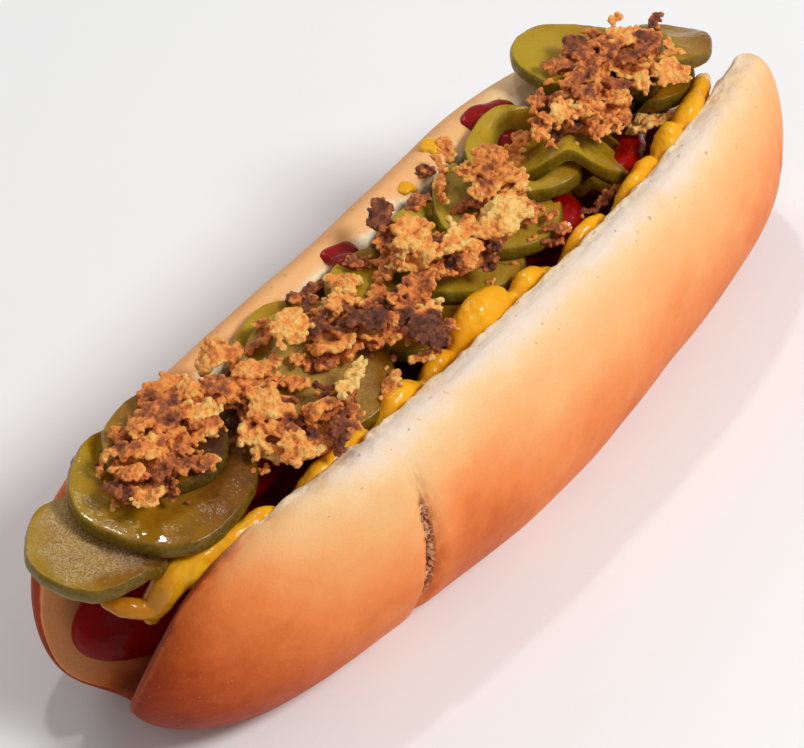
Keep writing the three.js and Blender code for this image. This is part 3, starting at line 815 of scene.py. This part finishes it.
# Pickled cucumber: brown-olive to green flesh by the slice's tone, paler in the seedy middle, darker
# at the rind, wet, and sugar-grained, with pale grain painted as a highlight where light falls on it.
def picklePaint():
    paint = Paint("pickledCucumber")
    rim, core, tone, lit = [paint.field(name) for name in ("rim", "core", "tone", "lit")]
    cloud = paint.noise(5, 4)
    fine = paint.noise(0.7, 3)
    flesh = paint.ramp((tone + (cloud - 0.5) * 0.6).clipped(), [
        (0.0, (0.08, 0.028, 0.010)), (0.25, (0.20, 0.070, 0.003)), (0.55, (0.34, 0.165, 0.005)),
        (1.0, (0.47, 0.31, 0.016)),
    ])
    flesh = paint.mix(paint.step(core, 0.35, 0.9) * 0.3, flesh, (0.55, 0.32, 0.04))
    grainy = paint.step(core + (cloud - 0.5) * 1.2, 0.02, 0.4) * lit
    grain = paint.step(paint.noise(0.35, 4, 0.7), 0.36, 0.60) * grainy
    # Pale grain where the slice is lit: painted highlight over grain that the bump also raises
    flesh = paint.mix(grain * 0.45, flesh, (1.00, 0.72, 0.44))
    rind = paint.mix(tone, (0.06, 0.030, 0.002), (0.12, 0.095, 0.004))
    rind = paint.mix(paint.step(fine, 0.4, 0.65) * 0.5, rind, (0.22, 0.15, 0.008))
    colour = paint.mix(rim * 0.8, flesh, rind)
    wet = paint.noise(2.4, 3)
    normal = paint.bump(wet, 0.35)
    normal = paint.bump(fine * 0.6 + grain, 0.12, normal)
    return paint.finish({
        "Base Color": colour, "IOR": 1.42,
        "Roughness": 0.16 + paint.step(fine, 0.4, 0.8) * 0.2 + grain * 0.3 + rim * 0.16,
        "Coat Weight": 0.25 - rim * 0.19, "Coat Roughness": 0.06, "Specular IOR Level": 0.28,
        "Normal": normal,
        "Subsurface Weight": 0.5, "Subsurface Radius": (1.0, 0.7, 0.12), "Subsurface Scale": 0.004,
    })


def makePickles():
    material = picklePaint()
    return [makeSlice(number, row, material) for number, row in enumerate(pickles["slices"])]


makePickles()
print("pickle slices made")


# The fried onions: five clumps, each a low lumpy core with flakes lying over it

onions = {
    "rise": 0.36,  # height of a clump's core as a share of its width
    "clumps": [  # the points of its ridge, and its half width
        ([(-75.5, 2.6, 46.4), (-71.1, 7.2, 48.4), (-63.6, 8.2, 49.5), (-55.6, 7.4, 49.6)], 4.6),
        ([(-46.4, 8, 49), (-49, 0.6, 47.8), (-52.2, -5, 46), (-46.5, -9.4, 45.4), (-38, -8.4, 46.4)], 4.4),
        ([(-32.8, 6.4, 49), (-25.4, 3, 48.6), (-21.6, -3, 47.6), (-16, -5, 47), (-18.4, -10.4, 45.6)], 4.4),
        ([(-4.4, 11.6, 47.8), (-4, 3, 47), (0, -3, 46.4), (10.2, -2.6, 46.8), (17, 0, 48), (20, 9, 48)], 4.2),
        ([(36, 5.6, 48.6), (44, -3, 48), (46.4, 5, 49.4), (52, 7, 50.4), (58.8, 5, 50.4),
          (58.4, -3.0, 48.4)], 4.4),
    ],
    "chunks": 30, "crumbs": 70,  # loose pieces a clump, besides the ones placed one by one
    "goldenShare": 0.618034,  # spreads them evenly to both sides of the ridge
    "looseTones": [0.2, 0.34, 0.46, 0.56, 0.64, 0.74],
    "pitch": 0.75, "voxel": 0.22,  # distance between a flake's lumps, and the cubes that fill them
    "flattened": (51.5, 0.45),  # height above which the clumps are squashed, and by what share
    "colours": [
        (0.00, (0.07, 0.016, 0.007)), (0.20, (0.19, 0.044, 0.014)), (0.40, (0.43, 0.110, 0.026)),
        (0.60, (0.92, 0.28, 0.050)), (0.79, (1.00, 0.47, 0.105)), (0.98, (1.00, 0.63, 0.19)),
    ],
    # The pieces that stand out in the photograph: pixel of the middle, length and width in mm, heading
    # in the picture in degrees, tone from dark to pale gold, thickness in mm
    "seen": [
        [  # first clump, at the near end
            (148, 496, 7.0, 4.6, 80, 0.74, 1.8), (204, 408, 6.4, 4.2, 10, 0.92, 1.8),
            (202, 429, 4.6, 4.2, 70, 0.66, 2.2), (166, 408, 8.0, 6.4, 50, 0.34, 2.6),
            (141, 421, 4.8, 4.4, 60, 0.52, 2.4), (150, 448, 5.6, 4.8, 20, 0.60, 2.6),
            (178, 450, 6.4, 3.8, 10, 0.44, 2.2), (186, 464, 7.6, 3.4, 5, 0.46, 2.0),
            (206, 458, 5.4, 2.6, 340, 0.60, 1.4), (119, 489, 5.6, 3.4, 340, 0.20, 2.0),
            (110, 456, 4.6, 3.4, 20, 0.54, 2.0), (118, 437, 4.4, 2.2, 120, 0.42, 1.4),
            (132, 474, 4.6, 3.8, 30, 0.50, 2.4), (169, 388, 6.0, 4.6, 40, 0.62, 2.4),
            (150, 396, 4.8, 4.4, 60, 0.34, 2.4), (187, 388, 5.6, 4.0, 20, 0.64, 2.2),
            (128, 452, 4.0, 3.4, 80, 0.36, 2.2), (162, 470, 4.6, 3.8, 40, 0.40, 2.2),
        ],
        [
            (212, 358, 7.4, 6.0, 30, 0.66, 2.8), (246, 373, 6.0, 5.2, 70, 0.60, 2.6),
            (231, 392, 6.6, 4.6, 10, 0.48, 2.6), (270, 402, 7.8, 6.2, 20, 0.58, 3.2),
            (288, 381, 7.0, 2.8, 350, 0.62, 1.6), (270, 367, 3.8, 2.8, 40, 0.66, 1.6),
            (281, 427, 8.4, 4.2, 340, 0.62, 2.4), (251, 436, 6.8, 4.2, 100, 0.74, 2.2),
            (299, 449, 6.2, 5.2, 50, 0.64, 2.8), (268, 467, 3.8, 2.4, 20, 0.52, 1.8),
            (320, 408, 6.4, 5.6, 70, 0.50, 2.6), (351, 381, 11.0, 3.4, 62, 0.95, 1.6),
            (340, 430, 7.6, 4.4, 60, 0.18, 1.8), (349, 420, 7.6, 2.0, 65, 0.58, 1.6),
            (338, 456, 5.2, 3.0, 20, 0.60, 1.8), (298, 361, 3.4, 2.4, 100, 0.70, 1.2),
            (214, 384, 5.0, 4.0, 0, 0.44, 2.4), (236, 350, 4.4, 3.4, 40, 0.56, 2.0),
            (258, 340, 5.4, 3.0, 30, 0.50, 1.8), (266, 325, 4.6, 3.2, 340, 0.62, 1.8),
        ],
        [
            (290, 326, 10.0, 6.2, 62, 0.72, 2.6), (298, 294, 6.4, 3.6, 15, 0.36, 2.2),
            (322, 282, 6.6, 4.8, 20, 0.34, 2.4), (344, 281, 6.0, 5.2, 70, 0.66, 2.8),
            (338, 300, 7.2, 3.4, 50, 0.80, 1.8), (331, 338, 8.0, 6.2, 30, 0.58, 3.0),
            (348, 350, 4.8, 4.4, 60, 0.46, 2.6), (372, 318, 8.8, 5.0, 10, 0.14, 2.6),
            (378, 294, 6.2, 3.4, 65, 0.60, 1.8), (392, 297, 4.8, 2.8, 80, 0.52, 1.8),
            (385, 262, 8.6, 3.0, 78, 0.54, 1.8), (415, 250, 8.0, 6.6, 40, 0.64, 3.0),
            (418, 286, 6.8, 5.8, 70, 0.44, 2.8), (437, 269, 7.2, 3.8, 20, 0.58, 2.2),
            (424, 309, 7.6, 2.8, 5, 0.88, 1.8), (428, 330, 8.0, 7.4, 60, 0.08, 2.6),
            (424, 357, 5.6, 2.0, 15, 0.70, 1.2), (373, 344, 4.8, 2.6, 85, 0.52, 1.8),
            (394, 336, 3.4, 2.4, 80, 0.58, 1.6), (391, 382, 6.0, 3.6, 60, 0.72, 1.6),
            (324, 364, 4.0, 3.0, 60, 0.40, 2.0), (355, 262, 4.6, 3.0, 30, 0.40, 1.8),
        ],
        [
            (441, 178, 11.6, 2.0, 72, 0.64, 1.4), (446, 153, 6.0, 3.4, 100, 0.66, 1.4),
            (426, 173, 4.0, 3.0, 20, 0.36, 1.8), (418, 200, 4.4, 3.8, 40, 0.40, 2.2),
            (470, 176, 6.0, 2.4, 340, 0.66, 1.4), (491, 157, 6.8, 6.2, 50, 0.46, 2.8),
            (513, 157, 5.0, 4.4, 80, 0.68, 2.0), (522, 140, 5.0, 4.4, 50, 0.54, 2.4),
            (543, 131, 7.0, 3.4, 120, 0.58, 1.8), (503, 176, 7.4, 5.0, 10, 0.54, 2.4),
            (521, 184, 7.6, 2.4, 95, 0.74, 1.6), (505, 210, 8.6, 7.8, 40, 0.86, 3.0),
            (466, 203, 5.8, 3.2, 10, 0.36, 2.0), (530, 213, 4.8, 3.8, 70, 0.46, 2.0),
            (550, 215, 3.6, 2.2, 30, 0.50, 1.4), (556, 229, 4.0, 2.2, 10, 0.46, 1.6),
            (552, 242, 4.2, 3.0, 10, 0.38, 1.8), (460, 232, 7.2, 6.0, 70, 0.90, 2.0),
            (473, 252, 7.0, 2.8, 60, 0.64, 1.6), (413, 232, 8.0, 7.4, 40, 0.62, 3.0),
            (380, 214, 6.8, 4.0, 80, 0.20, 2.2), (447, 247, 6.4, 4.0, 30, 0.78, 2.0),
            (484, 190, 5.0, 4.0, 30, 0.58, 2.4), (490, 228, 5.4, 4.4, 10, 0.72, 2.4),
            (584, 213, 5.0, 1.8, 40, 0.30, 1.4), (600, 201, 6.0, 2.4, 42, 0.42, 1.6),
            (617, 189, 5.0, 2.2, 40, 0.64, 1.4),
            (400, 256, 5.0, 4.0, 40, 0.46, 2.2), (470, 222, 4.4, 3.4, 40, 0.48, 2.2),
        ],
        [
            (624, 32, 7.6, 4.8, 20, 0.80, 2.4), (616, 19, 3.4, 2.0, 40, 0.62, 1.2),
            (642, 46, 7.4, 5.6, 60, 0.26, 2.6), (652, 38, 5.0, 3.2, 80, 0.54, 1.8),
            (655, 21, 4.2, 1.8, 60, 0.28, 1.2), (578, 45, 6.6, 5.4, 70, 0.30, 2.6),
            (607, 50, 6.0, 4.4, 40, 0.48, 2.2), (668, 43, 2.6, 2.2, 0, 0.74, 1.4),
            (557, 66, 5.6, 3.6, 350, 0.42, 2.2), (590, 70, 5.2, 4.6, 70, 0.52, 2.4),
            (574, 76, 3.8, 3.0, 70, 0.56, 1.8), (636, 76, 7.2, 4.2, 330, 0.72, 2.2),
            (615, 82, 6.2, 3.8, 350, 0.34, 2.2), (672, 70, 6.6, 5.8, 20, 0.66, 2.6),
            (537, 99, 6.2, 3.4, 50, 0.44, 1.8), (558, 96, 4.4, 3.0, 20, 0.40, 1.8),
            (582, 90, 6.8, 3.6, 340, 0.40, 2.2), (564, 110, 6.6, 5.0, 75, 0.78, 2.2),
            (587, 109, 5.6, 4.0, 20, 0.60, 1.8), (594, 126, 7.4, 2.8, 100, 0.56, 1.4),
            (611, 118, 8.4, 3.4, 115, 0.58, 1.4), (621, 99, 5.0, 3.2, 10, 0.70, 1.8),
            (649, 121, 8.0, 6.0, 25, 0.74, 2.8), (547, 118, 4.0, 2.8, 60, 0.60, 1.6),
            (539, 129, 6.8, 2.8, 115, 0.58, 1.6), (685, 111, 5.0, 2.4, 35, 0.42, 1.6),
            (600, 36, 4.6, 3.6, 40, 0.44, 2.2), (628, 60, 4.4, 3.4, 30, 0.30, 2.2),
        ],
    ],
}


# The height of what flakes can lie on: the pickle slices' tops and the clumps' cores. A core's top is
# the ridge's height plus a half ellipse across it.
def restHeight(x, y):
    height = np.full(np.shape(x), 36.0)
    middles, covers = sliceHeights(x, y)
    for middle, cover in zip(middles, covers):
        height = np.where(cover > 0.9, np.maximum(height, middle + pickles["thickness"] / 2), height)
    for ridge, halfWidth in onions["clumps"]:
        line = curveThrough(ridge, np.linspace(0, 1, 40))
        away = np.hypot(x[..., None] - line[:, 0], y[..., None] - line[:, 1])
        nearest = away.argmin(axis=-1)
        share = np.clip(1 - (away.min(axis=-1) / halfWidth) ** 2, 0, 1)
        top = line[nearest, 2] + onions["rise"] * halfWidth * np.sqrt(share)
        height = np.where(share > 0, np.maximum(height, top), height)
    return height


# Where a ray through each pixel first comes down on what flakes can lie on, or on the bread.
def landingOf(pixels, lift):
    levels = np.arange(54.0, 36.0, -0.2)
    spots = seenAt(np.asarray(pixels, float)[:, None, :] + np.zeros((1, len(levels), 1)), levels)
    landed = spots[..., 2] <= restHeight(spots[..., 0], spots[..., 1]) + lift[:, None]
    first = np.where(landed.any(axis=1), landed.argmax(axis=1), len(levels) - 1)
    found = spots[np.arange(len(first)), first]
    onBread = breadAt(pixels)
    return np.where(onBread[:, 2:] > found[:, 2:], onBread + (0, 0, 0.4), found)


# The lumps of one flake: a jittered lattice over a rounded rectangle with a ragged outline, raised and
# sunk by noise, with smaller lumps on top; then bent over two curls and a twist. Rows of x, y, z, radius
# and how much paler the lump is.
def flakeLumps(size, curl, draw):
    length, width, thickness = size
    rows = [np.arange(-extent / 2, extent / 2 + 0.1, onions["pitch"]) for extent in (length, width)]
    flat = np.stack(np.meshgrid(*rows), -1).reshape(-1, 2)
    flat = flat + draw.uniform(-0.33, 0.33, flat.shape)
    shape = np.sum(np.abs(2 * flat / (length, width)) ** 2.2, axis=1)
    level = np.column_stack([flat, np.full(len(flat), draw.uniform(0, 90))])
    kept = shape < np.maximum(0.95 + 1.2 * noiseAt(level, 1.5, 5), 0.12)
    flat, level, shape = flat[kept], level[kept], np.minimum(shape[kept], 1)
    radius = np.maximum(thickness * draw.uniform(0.22, 0.31, len(flat)) * (1 - 0.3 * shape), 0.46)
    height = 0.62 * thickness * noiseAt(level, 3.2, 6) + draw.normal(0, 0.05, len(flat))
    lumps = np.column_stack([flat, height, radius, draw.normal(0, 0.06, len(flat))])
    bumps = lumps[draw.random(len(lumps)) < 0.22]
    bumps[:, :2] += draw.uniform(-0.3, 0.3, (len(bumps), 2))
    bumps[:, 2] += 0.8 * bumps[:, 3] * draw.choice([-1, 1, 1], len(bumps))
    bumps[:, 3] = draw.uniform(0.30, 0.5, len(bumps))
    bumps[:, 4] += 0.06
    lumps = np.concatenate([lumps, bumps])
    x, y, z = lumps[:, :3].T
    bentZ = z - curl[0] * x ** 2 + curl[1] * y ** 2
    turn = curl[2] * x
    lumps[:, 1] = y * np.cos(turn) - bentZ * np.sin(turn)
    lumps[:, 2] = y * np.sin(turn) + bentZ * np.cos(turn)
    return lumps


# Round forms at rows of x, y, z and radius, each one stretched at random and more level than tall.
def lumpForm(lumps, draw, rings=7, around=9):
    lean = np.linspace(-np.pi / 2, np.pi / 2, rings)[:, None]
    turn = np.linspace(0, 2 * np.pi, around, endpoint=False)[None]
    x, y = np.cos(lean) * np.cos(turn), np.cos(lean) * np.sin(turn)
    unit = np.stack(np.broadcast_arrays(x, y, np.sin(lean)), -1)
    corners, quads, triangles = closedForm(unit)
    stretch = lumps[:, None, 3:4] * draw.uniform((0.9, 0.9, 0.7), (1.6, 1.6, 1.1), (len(lumps), 1, 3))
    placed = corners[None] * stretch + lumps[:, None, :3]
    starts = len(corners) * np.arange(len(lumps))[:, None, None]
    return placed.reshape(-1, 3), (quads + starts).reshape(-1, 4), (triangles + starts).reshape(-1, 3)


# For each place, the mean of the lumps' values weighted by nearness, and how many lumps crowd round it.
def nearLumps(places, lumps, values, reach):
    means, crowds = [], []
    for start in range(0, len(places), 4000):
        part = places[start:start + 4000]
        apart = np.sum(part ** 2, axis=1)[:, None] + np.sum(lumps ** 2, axis=1) - 2 * part @ lumps.T
        weight = np.exp(-np.maximum(apart, 0) / reach ** 2)
        crowds.append(weight.sum(axis=1))
        means.append(weight @ values / (crowds[-1] + 1e-12))
    return np.concatenate(means), np.concatenate(crowds)


# Rotations that lay a flake's length along a heading in the plane and tip it by two small leans.
def layingTurns(headings, leans):
    c, s = np.cos(headings), np.sin(headings)
    one, zero = np.ones_like(c), np.zeros_like(c)
    ca, sa = np.cos(leans[:, 0]), np.sin(leans[:, 0])
    cb, sb = np.cos(leans[:, 1]), np.sin(leans[:, 1])
    level = [[c, -s, zero], [s, c, zero], [zero, zero, one]]
    tipA = [[one, zero, zero], [zero, ca, -sa], [zero, sa, ca]]
    tipB = [[cb, zero, sb], [zero, one, zero], [-sb, zero, cb]]
    level, tipA, tipB = [np.moveaxis(np.array(turn), -1, 0) for turn in (level, tipA, tipB)]
    return level @ tipA @ tipB


def makeClump(number, material):
    ridge, halfWidth = onions["clumps"][number]
    draw = np.random.default_rng(100 + number)
    groups = []

    # Chunks and crumbs over the core, spread along the ridge and to both sides of it
    for count, spread, low, high in (
        (onions["chunks"], 1.0, (2.8, 2.0, 1.4), (5.6, 4.0, 2.2)),
        (onions["crumbs"], 1.5, (0.6, 0.5, 1.0), (2.2, 1.6, 1.6)),
    ):
        shares = (np.arange(count) + draw.random(count)) / count
        line = curveThrough(ridge, shares)
        further, back = np.minimum(shares + 0.01, 1), np.maximum(shares - 0.01, 0)
        ahead = curveThrough(ridge, further) - curveThrough(ridge, back)
        side = np.stack([-ahead[:, 1], ahead[:, 0]], -1)
        side /= np.linalg.norm(side, axis=1, keepdims=True)
        away = (2 * ((np.arange(count) * onions["goldenShare"]) % 1) - 1) * spread * halfWidth
        spots = line[:, :2] + side * away[:, None]
        sizes = draw.uniform(low, high, (count, 3))
        height = restHeight(spots[:, 0], spots[:, 1]) - 0.1 * sizes[:, 2]
        turns = layingTurns(draw.uniform(0, 2 * np.pi, count), draw.uniform(-0.7, 0.7, (count, 2)))
        curls = draw.uniform(-0.06, 0.09, (count, 3)) * (1, 1, 2.5)
        tones = draw.choice(onions["looseTones"], count)
        groups.append((np.column_stack([spots, height]), sizes, turns, curls, tones))

    # The pieces seen in the photograph, on top
    seen = np.array(onions["seen"][number], float)
    centres = landingOf(seen[:, :2], 0.3 * seen[:, 6] + 0.9)
    step = 10 * np.stack([np.cos(seen[:, 4] * radians), -np.sin(seen[:, 4] * radians)], -1)
    along = seenAt(seen[:, :2] + step, centres[:, 2]) - seenAt(seen[:, :2], centres[:, 2])
    turns = layingTurns(np.arctan2(along[:, 1], along[:, 0]), draw.uniform(-0.35, 0.35, (len(seen), 2)))
    curls = draw.uniform(-0.04, 0.11, (len(seen), 3)) * (1, 1, 1.6)
    groups.append((centres, seen[:, [2, 3, 6]], turns, curls, seen[:, 5]))

    lumps = []
    for centres, sizes, turns, curls, tones in groups:
        for centre, size, turn, curl, tone in zip(centres, sizes, turns, curls, tones):
            rows = flakeLumps(size, curl, draw)
            rows[:, :3] = rows[:, :3] @ turn.T + centre
            rows[:, 4] += tone
            lumps.append(rows)
    lumps = np.concatenate(lumps)
    top, squash = onions["flattened"]
    lumps[:, 2] -= squash * np.maximum(lumps[:, 2] - top, 0)

    # The core: the low bead that the clump lies on
    rows = np.array(ridge) - (0, 0, 0.8)
    core = beadForm(np.column_stack([rows, np.full(len(rows), 0.85 * halfWidth)]), onions["rise"], 40, 70, 6)
    name = f"onion_flakes_{number + 1}"
    mesh = meltedMesh(name, joinForms([core, lumpForm(lumps, draw)]), onions["voxel"], 2)
    roughen(mesh, 2.2, 0.30, 1, 80 + number)
    roughen(mesh, 0.9, 0.26, 3, 90 + number)
    places = placesOf(mesh)
    tone, crowd = nearLumps(places, lumps[:, :3], lumps[:, 4], 0.65)
    # Tone falls where lumps crowd round a place: painted shade in the hollows between flakes
    crowding = np.interp(crowd, np.percentile(crowd, (5, 50, 95)), (-1, 0, 1))
    setField(mesh, "tone", np.where(crowd > 1e-3, tone, 0.2) + 0.04 - 0.22 * crowding)
    print(name, len(mesh.polygons), "faces")
    return addPiece(name, mesh, material, [f"onions_{number + 1}"])


# Crisp batter: colour by each flake's tone, blotched towards dark at two sizes, paler on fine ridges as
# painted light.
def onionPaint():
    paint = Paint("friedOnion")
    tone = paint.field("tone")
    blotch = paint.noise(2.6, 4, 0.6)
    fine = paint.noise(0.6, 4, 0.6)
    # The fine noise also raises the bump, so its ridges are paler: painted light on their tops
    shade = tone + (blotch - 0.5) * 0.55 + (fine - 0.5) * 0.38
    colour = paint.ramp(shade.clipped(), onions["colours"])
    pits = 1 - paint.step(paint.cells(0.9), 0.05, 0.5)
    normal = paint.bump(fine, 0.45)
    normal = paint.bump(paint.noise(0.22, 2) - pits * 0.7, 0.16, normal)
    return paint.finish({
        "Base Color": colour, "Roughness": 0.5 + (blotch - 0.5) * 0.3, "IOR": 1.45, "Normal": normal,
        "Subsurface Weight": 0.15, "Subsurface Radius": (1.0, 0.45, 0.12), "Subsurface Scale": 0.0015,
    })


def makeOnions():
    material = onionPaint()
    return [makeClump(number, material) for number in range(len(onions["clumps"]))]


makeOnions()
print("onions made")


# Floor and light

studio = {
    "floor": (0.92, 0.92, 0.92),
    "surround": 0.28,  # strength of the even light from all sides
    "lamps": [  # name, direction that it stands in, distance, size, watts
        ("key", (0.35, -0.85, 1.00), 1.1, 0.35, 8.4),
        ("fill", (-0.95, -0.35, 0.75), 1.3, 0.80, 0.8),
        ("back", (0.15, 0.95, 0.80), 1.2, 0.60, 1.7),
        ("glint", (0.20, 0.30, 1.00), 0.9, 0.05, 1.0),
    ],
}


def makeStudio():
    mesh = bpy.data.meshes.new("floor")
    reach = 2.5
    corners = [(-reach, -reach, 0), (reach, -reach, 0), (reach, reach, 0), (-reach, reach, 0)]
    mesh.from_pydata(corners, [], [(0, 1, 2, 3)])
    floor = bpy.data.objects.new("floor", mesh)
    bpy.context.scene.collection.objects.link(floor)
    paint = Paint("paleFloor")
    mesh.materials.append(paint.finish({"Base Color": studio["floor"], "Roughness": 0.9}))
    world = bpy.data.worlds.new("studio")
    world.use_nodes = True
    background = world.node_tree.nodes["Background"]
    background.inputs["Color"].default_value = (1, 1, 1, 1)
    background.inputs["Strength"].default_value = studio["surround"]
    bpy.context.scene.world = world
    middle = Vector((0, 0, 0.03))
    for name, direction, distance, size, watts in studio["lamps"]:
        data = bpy.data.lights.new(name, "AREA")
        data.shape = "DISK"
        data.size = size
        data.energy = watts
        lamp = bpy.data.objects.new(name, data)
        towards = Vector(direction).normalized()
        lamp.location = middle + towards * distance
        lamp.rotation_euler = towards.to_track_quat("Z", "Y").to_euler()
        bpy.context.scene.collection.objects.link(lamp)
    bpy.context.scene.view_settings.view_transform = "Standard"


makeStudio()
print("studio made")
